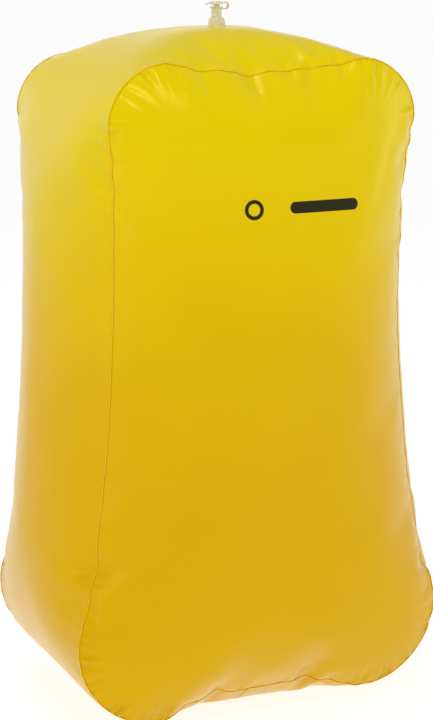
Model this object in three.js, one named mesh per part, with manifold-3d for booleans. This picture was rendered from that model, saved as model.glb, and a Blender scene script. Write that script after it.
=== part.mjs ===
// Inflatable flared block: two PVC film panels welded to one wraparound gusset band, standing on
// its wide end, with a soft oral inflation valve in the middle of its top.
// Millimetres. X runs across the front panel, -Y is the front, +Z is up.
// The origin is the middle of the patch that rests on the floor.

import * as THREE from 'three';
import { mergeVertices } from 'three/addons/utils/BufferGeometryUtils.js';
import Module from 'manifold-3d';

const wasm = await Module();
wasm.setup();

// Air-filled bag, measured with air in it
const bagHeight = 655;             // floor to the film under the valve
const bottomSeamWidth = 374;       // between the two side seams, where the corners would be sharp
const topSeamWidth = 296;
const bottomSeamDepth = 208;       // front seam to back seam
const topSeamDepth = 232;
const bottomCornerRadius = 90;
const topCornerRadius = 62;
const waistPull = 20;              // how far tension draws each side seam in at mid height
const sideBulge = 47;              // gusset band beyond the seams, at its middle
const topBulge = 31;
const bottomBulge = 33;
const floorFlattening = 3;         // depth of the bulge that the floor presses flat
const panelCrown = 58;             // panel beyond the seam plane
const filmThickness = 0.35;

// Welds
const weldBeadRadius = 0.9;
const lapStripWidth = 22;          // strip welded over the joint where the band's two ends meet
const lapStripThickness = 0.35;

// Oral valve; heights are above the film, and radii and reaches are from the valve's own axis
const valveX = 8;                  // right of the bag's middle
const flangeRadius = 19;
const flangeThickness = 0.8;
const collarBaseRadius = 8.85;
const collarTopRadius = 7.4;
const collarHeight = 7.5;
const collarWall = 1.2;
const stemRadius = 4.925;
const boreRadius = 3.3;
const stemBelowFilm = 3;
const lipRadius = 6.05;
const lipThickness = 1.1;
const lipTop = 18;
const plugDepth = 2.6;             // plug inside the bore
const plugTipRadius = 1.8;
const capStandOff = 2.2;           // bare plug between the lip and the cap
const capRadius = 6.2;
const capThickness = 3.2;
const capEdgeRounding = 0.9;
const strapWidth = 4;
const strapThickness = 1.2;
const strapBendCentreX = 9.2;
const tabReach = 12;               // pull tab's tip, from the valve's axis
const tabWidth = 5;
const tabThickness = 1.2;
const tabSlope = 14;               // degrees, down towards the tip
const flapRadius = 4.2;
const flapThickness = 0.6;

const clearance = 0.3;             // between neighbouring pieces

// Mesh fineness
const bottomStations = 22;
const sideStations = 28;
const topStations = 18;
const bandRows = 8;
const panelRings = 5;
const innerRing = 0.12;            // innermost ring, as a share of the way from spine to seam
const beadSides = 5;
const roundSegments = 24;
const curveSegments = 8;

// Shape of the inflated surfaces: height of each crown is 1 - share^power
const panelPower = 2.4;
const sidePower = 2;
const endPower = 4;                // the top and bottom of the band have flat middles
const lengthwisePower = 2.5;       // fading of the band's bulge towards the corners

const seamBottom = bottomBulge - floorFlattening;
const seamTop = bagHeight - topBulge;
const spineBottom = seamBottom + bottomSeamWidth / 2;
const spineTop = seamTop - topSeamWidth / 2;

const rowsAcross = Array.from({ length: bandRows + 1 }, (_, row) => (2 * row) / bandRows - 1);

function pieceMaterial(color, roughness) {
  return new THREE.MeshStandardMaterial({ color, roughness, metalness: 0 });
}

function piece(name, geometry, material) {
  const mesh = new THREE.Mesh(geometry, material);
  mesh.name = name;
  return mesh;
}

// ---- closed meshes and booleans ----

function closedGeometry(points, triangles) {
  let volume = 0;
  for (const [a, b, c] of triangles) {
    volume += points[a].dot(new THREE.Vector3().crossVectors(points[b], points[c]));
  }
  const outward = volume < 0 ? triangles.map(([a, b, c]) => [a, c, b]) : triangles;
  const geometry = new THREE.BufferGeometry().setFromPoints(points);
  geometry.setIndex(outward.flat());
  return geometry;
}

function asManifold(geometry) {
  const plain = geometry.clone();
  plain.deleteAttribute('normal');
  plain.deleteAttribute('uv');
  const merged = mergeVertices(plain, 1e-4);
  return new wasm.Manifold(new wasm.Mesh({
    numProp: 3,
    vertProperties: new Float32Array(merged.attributes.position.array),
    triVerts: new Uint32Array(merged.index.array),
  }));
}

function asGeometry(manifold) {
  const mesh = manifold.getMesh();
  const geometry = new THREE.BufferGeometry();
  geometry.setAttribute('position', new THREE.BufferAttribute(new Float32Array(mesh.vertProperties), 3));
  geometry.setIndex(new THREE.BufferAttribute(new Uint32Array(mesh.triVerts), 1));
  return geometry;
}

function uprightCylinder(radius, bottom, top, x = 0) {
  const geometry = new THREE.CylinderGeometry(radius, radius, top - bottom, roundSegments);
  return geometry.rotateX(Math.PI / 2).translate(x, 0, (top + bottom) / 2);
}

function throughTop(radius) {
  return asManifold(uprightCylinder(radius, bagHeight - topBulge, bagHeight + topBulge, valveX));
}

// Turns [radius, height] pairs about the valve's axis; an open profile starts and ends on the axis.
function turned(profile, isRing) {
  const corners = profile.map(([radius, height]) => new THREE.Vector2(radius, height));
  if (isRing) corners.push(corners[0].clone());
  return new THREE.LatheGeometry(corners, roundSegments).rotateX(Math.PI / 2).translate(0, 0, bagHeight);
}

function surfaceNormals(points, triangles) {
  const surface = new THREE.BufferGeometry().setFromPoints(points);
  surface.setIndex(triangles.flat());
  surface.computeVertexNormals();
  const normals = surface.attributes.normal;
  return points.map((_, i) => new THREE.Vector3().fromBufferAttribute(normals, i));
}

// Makes a closed sheet from an open surface whose triangles face outwards. Its outer face lies
// inset below the surface, and a rim closes it along every edge that only one triangle has.
function filmSolid({ points, triangles }, thickness, inset = 0) {
  const normals = surfaceNormals(points, triangles);
  const outer = points.map((p, i) => p.clone().addScaledVector(normals[i], -inset));
  const inner = points.map((p, i) => p.clone().addScaledVector(normals[i], -inset - thickness));
  const count = points.length;
  const directedEdges = new Set(
    triangles.flatMap((corners) => corners.map((from, k) => `${from},${corners[(k + 1) % 3]}`)),
  );
  const solid = [...triangles, ...triangles.map(([a, b, c]) => [a + count, c + count, b + count])];
  for (const edge of directedEdges) {
    const [from, to] = edge.split(',').map(Number);
    if (!directedEdges.has(`${to},${from}`)) {
      solid.push([to, from, from + count], [to, from + count, to + count]);
    }
  }
  return closedGeometry([...outer, ...inner], solid);
}

function gridTriangles(columns, rows) {
  const triangles = [];
  for (let column = 0; column + 1 < columns; column++) {
    for (let row = 0; row + 1 < rows; row++) {
      const corner = column * rows + row;
      triangles.push([corner, corner + rows + 1, corner + rows], [corner, corner + 1, corner + rows + 1]);
    }
  }
  return triangles;
}

// ---- seam outline, as stations that run round the bag from the middle of its bottom ----

function fillet(corner, before, after, radius) {
  const toBefore = before.clone().sub(corner).normalize();
  const toAfter = after.clone().sub(corner).normalize();
  const halfAngle = Math.acos(toBefore.dot(toAfter)) / 2;
  const tangentLength = radius / Math.tan(halfAngle);
  const bisector = toBefore.clone().add(toAfter).normalize();
  const centre = corner.clone().addScaledVector(bisector, radius / Math.sin(halfAngle));
  const start = corner.clone().addScaledVector(toBefore, tangentLength);
  const end = corner.clone().addScaledVector(toAfter, tangentLength);
  const middleAngle = bisector.clone().negate().angle();
  const halfSweep = Math.PI / 2 - halfAngle;
  const arc = (from, to) => new THREE.EllipseCurve(centre.x, centre.y, radius, radius, from, to, false);
  return {
    start,
    end,
    firstHalf: arc(middleAngle - halfSweep, middleAngle),
    secondHalf: arc(middleAngle, middleAngle + halfSweep),
  };
}

function seamStations() {
  const corners = [
    { x: -bottomSeamWidth / 2, z: seamBottom, radius: bottomCornerRadius },
    { x: bottomSeamWidth / 2, z: seamBottom, radius: bottomCornerRadius },
    { x: topSeamWidth / 2, z: seamTop, radius: topCornerRadius },
    { x: -topSeamWidth / 2, z: seamTop, radius: topCornerRadius },
  ];
  const positions = corners.map(({ x, z }) => new THREE.Vector2(x, z));
  const around = (k) => (k + corners.length) % corners.length;
  const fillets = corners.map(({ radius }, k) =>
    fillet(positions[k], positions[around(k - 1)], positions[around(k + 1)], radius));
  const stretches = [
    { count: bottomStations, bulge: bottomBulge, power: endPower },
    { count: sideStations, bulge: sideBulge, power: sidePower },
    { count: topStations, bulge: topBulge, power: endPower },
    { count: sideStations, bulge: sideBulge, power: sidePower },
  ];
  const stations = stretches.flatMap(({ count, bulge, power }, k) => {
    const path = new THREE.CurvePath();
    path.add(fillets[k].secondHalf);
    path.add(new THREE.LineCurve(fillets[k].end, fillets[around(k + 1)].start));
    path.add(fillets[around(k + 1)].firstHalf);
    return path.getSpacedPoints(count).slice(0, -1).map((point, i) => {
      const fromMiddle = Math.abs((2 * i) / count - 1);
      const rise = (point.y - seamBottom) / (seamTop - seamBottom);
      const pull = waistPull * Math.sin(Math.PI * rise) ** 2 * Math.sign(point.x);
      return {
        x: point.x - pull,
        z: point.y,
        bulge: bulge * (1 - fromMiddle ** lengthwisePower),
        power,
      };
    });
  });
  const fromBottomMiddle = bottomStations / 2;
  const ordered = [...stations.slice(fromBottomMiddle), ...stations.slice(0, fromBottomMiddle)];
  return ordered.map((station, i) => {
    const before = ordered.at(i - 1);
    const after = ordered[(i + 1) % ordered.length];
    const outward = new THREE.Vector2(after.z - before.z, before.x - after.x).normalize();
    return { ...station, outwardX: outward.x, outwardZ: outward.y };
  });
}

const stations = seamStations();
const stationCount = stations.length;

// A station between two others, for a place given as a fraction of the spacing
function stationAt(place) {
  const lower = Math.floor(place);
  const share = place - lower;
  const a = stations[(lower + stationCount) % stationCount];
  const b = stations[(lower + 1 + stationCount) % stationCount];
  return {
    x: THREE.MathUtils.lerp(a.x, b.x, share),
    z: THREE.MathUtils.lerp(a.z, b.z, share),
    bulge: THREE.MathUtils.lerp(a.bulge, b.bulge, share),
    power: THREE.MathUtils.lerp(a.power, b.power, share),
    outwardX: THREE.MathUtils.lerp(a.outwardX, b.outwardX, share),
    outwardZ: THREE.MathUtils.lerp(a.outwardZ, b.outwardZ, share),
  };
}

function halfSeamDepth(z) {
  const rise = (z - seamBottom) / (seamTop - seamBottom);
  return THREE.MathUtils.lerp(bottomSeamDepth, topSeamDepth, rise) / 2;
}

function seamPoint(station) {
  return new THREE.Vector3(station.x, -halfSeamDepth(station.z), station.z);
}

// Share of the way to the seam at which a surface line lies a given distance from the seam
function shareBeforeSeam(pointAtShare, seam, distance) {
  let near = 0;
  let far = 1;
  for (let step = 0; step < 40; step++) {
    const middle = (near + far) / 2;
    if (pointAtShare(middle).distanceTo(seam) > distance) near = middle;
    else far = middle;
  }
  return near;
}

// ---- film pieces ----

// Across runs from -1 at the front seam to 1 at the back seam.
function bandPoint(station, across) {
  const out = station.bulge * (1 - Math.abs(across) ** station.power);
  const z = Math.max(0, station.z + out * station.outwardZ);
  return new THREE.Vector3(station.x + out * station.outwardX, across * halfSeamDepth(station.z), z);
}

function bandSurface(columns) {
  const points = columns.flatMap((station) => {
    const edge = shareBeforeSeam((share) => bandPoint(station, -share), seamPoint(station),
      weldBeadRadius + clearance);
    return rowsAcross.map((row) => bandPoint(station, row * edge));
  });
  return { points, triangles: gridTriangles(columns.length, rowsAcross.length) };
}

const bottomSpacing = stations[1].x - stations[0].x;

function gussetBand() {
  const halfJoint = clearance / 2 / bottomSpacing;
  const columns = [stationAt(halfJoint), ...stations.slice(1), stationAt(stationCount - halfJoint)];
  const film = asManifold(filmSolid(bandSurface(columns), filmThickness));
  return asGeometry(film.subtract(throughTop(valveHoleRadius)));
}

function gussetLapStrip() {
  const halfStrip = lapStripWidth / 2 / bottomSpacing;
  const columns = [stationAt(-halfStrip), stations[0], stationAt(halfStrip)];
  return filmSolid(bandSurface(columns), lapStripThickness, filmThickness + clearance);
}

// One panel: rings from the seam to a loop round the upright spine, which crosswise strips close
function panel(side) {
  const panelPoint = (station, share) => {
    const spineZ = THREE.MathUtils.clamp(station.z, spineBottom, spineTop);
    const seam = seamPoint(station);
    const crown = panelCrown * (1 - share ** panelPower);
    return new THREE.Vector3(
      seam.x * share,
      side * (Math.abs(seam.y) + crown),
      THREE.MathUtils.lerp(spineZ, seam.z, share),
    );
  };
  const points = [];
  for (let ring = 0; ring <= panelRings; ring++) {
    for (const station of stations) {
      const seam = seamPoint(station);
      seam.y *= -side;
      const edge = shareBeforeSeam((share) => panelPoint(station, share), seam, weldBeadRadius + clearance);
      points.push(panelPoint(station, THREE.MathUtils.lerp(edge, innerRing, ring / panelRings)));
    }
  }
  const triangles = [];
  const addQuad = (a, b, c, d) => triangles.push([a, b, c], [a, c, d]);
  for (let ring = 0; ring < panelRings; ring++) {
    for (let i = 0; i < stationCount; i++) {
      const next = (i + 1) % stationCount;
      const outer = ring * stationCount;
      const inner = outer + stationCount;
      addQuad(outer + i, outer + next, inner + next, inner + i);
    }
  }
  const loop = panelRings * stationCount;
  const opposite = (i) => (stationCount - i) % stationCount;
  triangles.push([loop, loop + 1, loop + opposite(1)]);
  for (let i = 1; i + 1 < stationCount / 2; i++) {
    addQuad(loop + i, loop + i + 1, loop + opposite(i + 1), loop + opposite(i));
  }
  const last = stationCount / 2 - 1;
  triangles.push([loop + last, loop + last + 1, loop + opposite(last)]);
  const facing = side < 0 ? triangles : triangles.map(([a, b, c]) => [a, c, b]);
  return filmSolid({ points, triangles: facing }, filmThickness);
}

function weldBead(side) {
  const points = stations.flatMap((station) => {
    const seam = seamPoint(station);
    seam.y *= -side;
    return Array.from({ length: beadSides }, (_, k) => {
      const angle = (2 * Math.PI * k) / beadSides;
      const out = weldBeadRadius * Math.cos(angle);
      const forward = weldBeadRadius * Math.sin(angle);
      return new THREE.Vector3(
        seam.x + out * station.outwardX,
        seam.y + forward,
        seam.z + out * station.outwardZ,
      );
    });
  });
  const triangles = [];
  for (let i = 0; i < stationCount; i++) {
    for (let k = 0; k < beadSides; k++) {
      const a = i * beadSides + k;
      const b = i * beadSides + ((k + 1) % beadSides);
      const c = ((i + 1) % stationCount) * beadSides + ((k + 1) % beadSides);
      const d = ((i + 1) % stationCount) * beadSides + k;
      triangles.push([a, b, c], [a, c, d]);
    }
  }
  return closedGeometry(points, triangles);
}

// ---- oral valve ----

const flangeTop = -filmThickness - clearance;
const collarBase = flangeTop - flangeThickness;    // level with the flange's underside
const valveHoleRadius = collarBaseRadius + clearance;
const lipBottom = lipTop - lipThickness;
const capBottom = lipTop + capStandOff;
const capTop = capBottom + capThickness;
const strapLowerZ = lipBottom - clearance - strapThickness / 2;
const strapUpperZ = capBottom + capThickness / 2;

// The flange lies against the inside of the band, so it is cut from the band's own surface.
function valveFlange() {
  const middle = stationCount / 2;
  const reach = Math.ceil(((flangeRadius + Math.abs(valveX)) * topStations) / topSeamWidth) + 2;
  const columns = stations.slice(middle - reach, middle + reach + 1);
  const sheet = asManifold(filmSolid(bandSurface(columns), flangeThickness, filmThickness + clearance));
  return asGeometry(sheet.intersect(throughTop(flangeRadius)).subtract(throughTop(valveHoleRadius)));
}

function valveCollar() {
  return turned([
    [collarBaseRadius, collarBase],
    [collarTopRadius, collarHeight],
    [stemRadius + clearance, collarHeight],
    [stemRadius + clearance, collarHeight - collarWall],
    [collarTopRadius - collarWall, collarHeight - collarWall],
    [collarBaseRadius - collarWall, collarBase],
  ], true);
}

function valveStem() {
  return turned([
    [boreRadius, -stemBelowFilm],
    [stemRadius, -stemBelowFilm],
    [stemRadius, lipBottom],
    [lipRadius, lipBottom],
    [lipRadius, lipTop],
    [boreRadius, lipTop],
  ], true);
}

function plugCap() {
  return turned([
    [0, lipTop - plugDepth],
    [plugTipRadius, lipTop - plugDepth],
    [boreRadius - clearance, lipTop],
    [boreRadius - clearance, capBottom],
    [capRadius, capBottom],
    [capRadius, capTop - capEdgeRounding],
    [capRadius - capEdgeRounding, capTop],
    [0, capTop],
  ], false);
}

// Extrudes a side view, drawn as X and height above the film, to the strap's width across Y
function strapSolid(sideView) {
  const geometry = new THREE.ExtrudeGeometry(sideView, {
    depth: strapWidth,
    bevelEnabled: false,
    curveSegments,
  });
  return geometry.rotateX(Math.PI / 2).translate(0, strapWidth / 2, bagHeight);
}

function strapRoot() {
  const half = strapThickness / 2;
  const bendRadius = (strapUpperZ - strapLowerZ) / 2;
  const bendZ = (strapUpperZ + strapLowerZ) / 2;
  const end = strapBendCentreX + clearance / 2;
  const sideView = new THREE.Shape();
  sideView.moveTo(stemRadius + clearance, strapLowerZ - half);
  sideView.lineTo(end, strapLowerZ - half);
  sideView.absarc(end, bendZ, bendRadius + half, -Math.PI / 2, Math.PI / 2, false);
  sideView.absarc(end, bendZ, bendRadius - half, Math.PI / 2, -Math.PI / 2, true);
  sideView.lineTo(stemRadius + clearance, strapLowerZ + half);
  return strapSolid(sideView);
}

function strapTip() {
  const half = strapThickness / 2;
  const end = strapBendCentreX - clearance / 2;
  const sideView = new THREE.Shape();
  sideView.moveTo(capRadius + clearance, strapUpperZ - half);
  sideView.lineTo(end, strapUpperZ - half);
  sideView.lineTo(end, strapUpperZ + half);
  sideView.lineTo(capRadius + clearance, strapUpperZ + half);
  return strapSolid(sideView);
}

// Tongue with a round tip, tilted down from the cap's edge
function pullTab() {
  const tipRadius = tabWidth / 2;
  const slope = THREE.MathUtils.degToRad(tabSlope);
  const length = (tabReach - capRadius - clearance) / Math.cos(slope);
  const plan = new THREE.Shape();
  plan.moveTo(0, tipRadius);
  plan.lineTo(tipRadius - length, tipRadius);
  plan.absarc(tipRadius - length, 0, tipRadius, Math.PI / 2, -Math.PI / 2, false);
  plan.lineTo(0, -tipRadius);
  const options = { depth: tabThickness, bevelEnabled: false, curveSegments };
  const tab = piece('pull_tab', new THREE.ExtrudeGeometry(plan, options), pieceMaterial(0xe5d48c, 0.35));
  tab.position.set(-capRadius - clearance, 0, bagHeight + capBottom + (capThickness - tabThickness) / 2);
  tab.rotation.y = -slope;
  return tab;
}

function checkFlap() {
  const top = -stemBelowFilm - clearance;
  return uprightCylinder(flapRadius, bagHeight + top - flapThickness, bagHeight + top);
}

// ---- assembly ----

const bagYellow = 0xe0b400;
const bag = new THREE.Group();
bag.add(
  piece('front_panel', panel(-1), pieceMaterial(bagYellow, 0.35)),
  piece('back_panel', panel(1), pieceMaterial(bagYellow, 0.35)),
  piece('gusset_band', gussetBand(), pieceMaterial(bagYellow, 0.35)),
  piece('gusset_lap_strip', gussetLapStrip(), pieceMaterial(bagYellow, 0.4)),
  piece('front_weld_bead', weldBead(-1), pieceMaterial(0xc99a00, 0.4)),
  piece('back_weld_bead', weldBead(1), pieceMaterial(0xc99a00, 0.4)),
);

const clearVinyl = 0xe8dda3;
bag.add(piece('valve_flange', valveFlange(), pieceMaterial(clearVinyl, 0.35)));

const valve = new THREE.Group();
valve.position.x = valveX;
valve.add(
  piece('valve_collar', valveCollar(), pieceMaterial(clearVinyl, 0.35)),
  piece('valve_stem', valveStem(), pieceMaterial(clearVinyl, 0.35)),
  piece('strap_root', strapRoot(), pieceMaterial(clearVinyl, 0.35)),
  piece('strap_tip', strapTip(), pieceMaterial(clearVinyl, 0.35)),
  piece('plug_cap', plugCap(), pieceMaterial(clearVinyl, 0.35)),
  pullTab(),
  piece('check_flap', checkFlap(), pieceMaterial(clearVinyl, 0.45)),
);

const inflatableBlock = new THREE.Group();
inflatableBlock.add(bag, valve);

export default inflatableBlock;
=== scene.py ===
"""Looks of the inflatable flared block: film blown up by cloth simulation from its flat cut, welded
edges, and a soft oral valve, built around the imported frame. Metres, except where a comment says
millimetres; -Y is the front."""

import math

import bmesh
import bpy
import numpy as np
from mathutils import Matrix, Vector, geometry, kdtree


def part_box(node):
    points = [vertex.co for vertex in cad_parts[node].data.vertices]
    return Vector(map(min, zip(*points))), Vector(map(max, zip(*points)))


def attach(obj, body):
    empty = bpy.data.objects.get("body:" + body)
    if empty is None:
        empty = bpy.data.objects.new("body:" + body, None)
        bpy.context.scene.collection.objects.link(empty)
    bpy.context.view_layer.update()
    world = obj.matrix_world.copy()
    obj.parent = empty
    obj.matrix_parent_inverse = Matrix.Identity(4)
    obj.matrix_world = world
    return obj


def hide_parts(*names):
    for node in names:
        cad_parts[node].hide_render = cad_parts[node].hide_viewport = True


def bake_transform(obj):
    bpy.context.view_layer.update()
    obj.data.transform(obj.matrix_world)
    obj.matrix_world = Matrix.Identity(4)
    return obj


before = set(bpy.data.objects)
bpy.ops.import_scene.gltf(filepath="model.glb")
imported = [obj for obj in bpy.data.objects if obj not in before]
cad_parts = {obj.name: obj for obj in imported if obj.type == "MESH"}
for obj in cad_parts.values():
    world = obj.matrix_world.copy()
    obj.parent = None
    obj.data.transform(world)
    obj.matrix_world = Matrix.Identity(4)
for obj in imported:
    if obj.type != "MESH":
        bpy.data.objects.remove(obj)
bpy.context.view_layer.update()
scene = bpy.context.scene

# Flat cut of the film, before any air goes in
PANEL_HEIGHT = 0.6235
PANEL_TOP_WIDTH = 0.307
PANEL_BOTTOM_WIDTH = 0.408
PANEL_TOP_RADIUS = 0.066
PANEL_BOTTOM_RADIUS = 0.098
PANEL_WAIST = 0.0095               # each long side is cut in by this much at mid height
BAND_TOP_WIDTH = 0.250
BAND_BOTTOM_WIDTH = 0.230
BAND_WAIST = 0.0030                # narrower by this much at mid height
BOTTOM_ARCH = 0.004                # rise of the bottom edge at its middle
FILM = 0.00035

# Simulation mesh: fine along the welds, where the film puckers, and coarser away from them
WELD_STEP = 0.0038
OPEN_STEP = 0.011
STEP_GROWTH = 1.13
FINE_BORDER = 0.055
CUT_NOISE = 0.00002                # random unevenness of the cut, which starts the long puckers
EDGE_SAMPLES = 1600
ARC_SAMPLES = 33
LATTICE_GAP = 0.6                  # share of a step that lattice points keep from the last ring
MERGE_DISTANCE = 1e-7

# Output types of the constrained triangulation
INSIDE_LOOP = 1
INSIDE_LOOP_LESS_HOLES = 2

# Cloth settings
AIR_PRESSURE = 40
FILM_STIFFNESS = 80
FILM_BENDING = 1.5
FILM_DAMPING = 5
BENDING_DAMPING = 0.5
POINT_MASS = 0.003
SOLVER_STEPS = 6
INFLATION_FRAMES = 22

# Smoothing of the blown-up shape: each pair shrinks it and then grows it back
CALM_PAIR = (0.6, -0.62)
CALM_ROUNDS = 10
CALM_START = 0.006                 # nearer to a weld than this, nothing is smoothed
CALM_RAMP = 0.020                  # and this much further in, all of it is
SEAM_CALM_PAIR = (0.5, -0.52)
SEAM_CALM_ROUNDS = 3

# Small puckers along the welds, on the corners, top, bottom and sides of the panel's edge
PUCKER_HEIGHTS = (0.0010, 0.0006, 0.0003, 0.0002)
PUCKER_SPACINGS = (0.0125, 0.021, 0.020, 0.0095)
PUCKER_REACHES = (0.0065, 0.013, 0.011, 0.008)
PUCKER_FADE_FROM_TOP = 0.045       # along the sides, away from the corners
PUCKER_FADE_FROM_BOTTOM = 0.030
HEIGHT_UNEVENNESS = 0.5
SPACING_UNEVENNESS = 0.3
DRIFT_UNEVENNESS = 0.24            # radians that a pucker leans, each reach away from the weld
RIDGE_SOFTNESS = 0.03
BAND_PUCKER_SHARE = 0.35

# The bag on its floor and under its valve
FLOOR_FLATTENING = 0.012
FLOOR_SOFTNESS = 0.006
STEM_BELOW_FILM = 0.003
VALVE_SEAT_RADIUS = 0.020          # the flange under the film keeps it flat to here
VALVE_SEAT_BLEND = 0.050
VALVE_HOLE_RADIUS = 0.00915

LAP_STRIP_WIDTH = 0.022
LAP_STRIP_MARGIN = 0.005           # the film is raised this far past the strip's edges
LAP_STRIP_RAMP = 0.004
LAP_STRIP_RAISE = 1.1 * FILM
UNDERSIDE_HEIGHT = 0.02            # film lower than this counts as under the bag
UNDERSIDE_CUT_HEIGHT = 0.03        # and in the flat cut, lower than this
WELD_HALF_WIDTH = 0.0005
WELD_HEIGHT = 0.0006
WELD_CENTRE = 0.35                 # share of the weld's height at which its section is centred
WELD_CORNERS = 8

# Print on the front panel, in flat-cut coordinates
PRINT_HEIGHT = 0.4910
RING_X = -0.033
RING_RADIUS = 0.0088
RING_WIDTH = 0.0034
BAR_X = 0.036
BAR_HALF_LENGTH = 0.035
BAR_HALF_HEIGHT = 0.0052

stem_low, stem_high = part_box("valve_stem")
valve_x = (stem_low.x + stem_high.x) / 2
film_top = stem_low.z + STEM_BELOW_FILM        # outer face of the film at the valve


# ---------------------------------------------------------------- flat cut of the film

def corner_arc(corner, before, after, radius):
    """Points of the arc that rounds a corner, with its two ends."""
    to_before = (before - corner) / np.linalg.norm(before - corner)
    to_after = (after - corner) / np.linalg.norm(after - corner)
    half = math.acos(float(to_before @ to_after)) / 2
    bisector = (to_before + to_after) / np.linalg.norm(to_before + to_after)
    centre = corner + bisector * radius / math.sin(half)
    middle = math.atan2(-bisector[1], -bisector[0])
    half_turn = math.pi / 2 - half
    turn = np.linspace(middle - half_turn, middle + half_turn, ARC_SAMPLES)
    return centre + radius * np.stack([np.cos(turn), np.sin(turn)], 1)


def panel_edge():
    """The flat panel's edge: a closed line of (x, z) points, counter-clockwise from the front."""
    corners = np.array([
        (-PANEL_BOTTOM_WIDTH / 2, 0), (PANEL_BOTTOM_WIDTH / 2, 0),
        (PANEL_TOP_WIDTH / 2, PANEL_HEIGHT), (-PANEL_TOP_WIDTH / 2, PANEL_HEIGHT),
    ])
    radii = [PANEL_BOTTOM_RADIUS, PANEL_BOTTOM_RADIUS, PANEL_TOP_RADIUS, PANEL_TOP_RADIUS]
    arcs = [
        corner_arc(corners[k], corners[k - 1], corners[(k + 1) % 4], radii[k])
        for k in range(4)
    ]
    coarse = np.vstack(arcs + [arcs[0][:1]])
    along = np.concatenate([[0], np.cumsum(np.linalg.norm(np.diff(coarse, axis=0), axis=1))])
    dense = np.linspace(0, along[-1], EDGE_SAMPLES, endpoint=False)
    x = np.interp(dense, along, coarse[:, 0])
    z = np.interp(dense, along, coarse[:, 1])
    widening = (PANEL_TOP_WIDTH - PANEL_BOTTOM_WIDTH) / 2 * z / PANEL_HEIGHT
    half_width = PANEL_BOTTOM_WIDTH / 2 + widening
    x = x * (1 - PANEL_WAIST / half_width * np.sin(np.pi * z / PANEL_HEIGHT) ** 2)
    near_bottom = np.clip(1 - z / PANEL_BOTTOM_RADIUS, 0, 1)
    z = z + BOTTOM_ARCH * np.cos(np.pi * x / PANEL_BOTTOM_WIDTH) ** 2 * near_bottom
    return np.stack([x, z], 1)


def along_edge(edge, count, inset):
    """Evenly spaced points along the panel's edge, moved in by inset."""
    closed = np.vstack([edge, edge[:1]])
    along = np.concatenate([[0], np.cumsum(np.linalg.norm(np.diff(closed, axis=0), axis=1))])
    places = np.linspace(0, along[-1], count, endpoint=False)
    points = np.stack([np.interp(places, along, closed[:, k]) for k in range(2)], 1)
    tangent = np.roll(points, -1, 0) - np.roll(points, 1, 0)
    tangent /= np.linalg.norm(tangent, axis=1)[:, None]
    inward = np.stack([-tangent[:, 1], tangent[:, 0]], 1)
    return points + inward * inset


def graded_steps(reach):
    """Distances from a weld out to reach, in steps that grow from WELD_STEP to OPEN_STEP."""
    distances = [0.0]
    step = WELD_STEP
    while distances[-1] + step < reach:
        distances.append(distances[-1] + step)
        step = min(step * STEP_GROWTH, OPEN_STEP)
    return np.array(distances)


def inside(points, polygon):
    """Which points lie inside a closed polygon."""
    x, z = points.T
    crossing = np.zeros(len(points), bool)
    for (xa, za), (xb, zb) in zip(polygon, np.roll(polygon, 1, 0)):
        crossing ^= ((za > z) != (zb > z)) & (x < (xb - xa) * (z - za) / (zb - za + 1e-30) + xa)
    return crossing


def flat_panel():
    """Points and triangles of one flat panel; its first points run round its edge."""
    edge = panel_edge()
    length = np.linalg.norm(np.roll(edge, -1, 0) - edge, axis=1).sum()
    edge_count = 2 * round(length / WELD_STEP / 2)
    rings = [along_edge(edge, edge_count, 0.0)]
    insets = graded_steps(FINE_BORDER)
    for k in range(1, len(insets)):
        ring_step = insets[k] - insets[k - 1]
        count = round((length - 2 * math.pi * insets[k]) / ring_step)
        rings.append(along_edge(edge, count, insets[k]))
    lattice = []
    row_height = OPEN_STEP * math.sqrt(3) / 2
    for row in range(int(PANEL_HEIGHT / row_height) + 1):
        shift = OPEN_STEP / 2 * (row % 2)
        for column in range(int(PANEL_BOTTOM_WIDTH / OPEN_STEP) + 2):
            x = -PANEL_BOTTOM_WIDTH / 2 + column * OPEN_STEP + shift
            lattice.append((x, row * row_height))
    lattice = np.array(lattice)
    last_ring = rings[-1]
    lattice = lattice[inside(lattice, last_ring)]
    distance = np.linalg.norm(lattice[:, None] - last_ring[None], axis=2).min(axis=1)
    points = np.vstack(rings + [lattice[distance > LATTICE_GAP * OPEN_STEP]])
    loop = [(i, (i + 1) % edge_count) for i in range(edge_count)]
    new_points, _, triangles, sources, _, _ = geometry.delaunay_2d_cdt(
        [Vector(p) for p in points], loop, [list(range(edge_count))],
        INSIDE_LOOP_LESS_HOLES, MERGE_DISTANCE)
    place = {old: new for new, olds in enumerate(sources) for old in olds}
    edge_points = [place[i] for i in range(edge_count)]
    return np.array([tuple(p) for p in new_points]), triangles, edge_points


def band_width(z):
    """Flat width of the gusset band at a height of the panel's edge."""
    share = np.clip(z / PANEL_HEIGHT, 0, 1)
    straight = BAND_BOTTOM_WIDTH + (BAND_TOP_WIDTH - BAND_BOTTOM_WIDTH) * share
    return straight - BAND_WAIST * np.sin(np.pi * share) ** 2


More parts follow.
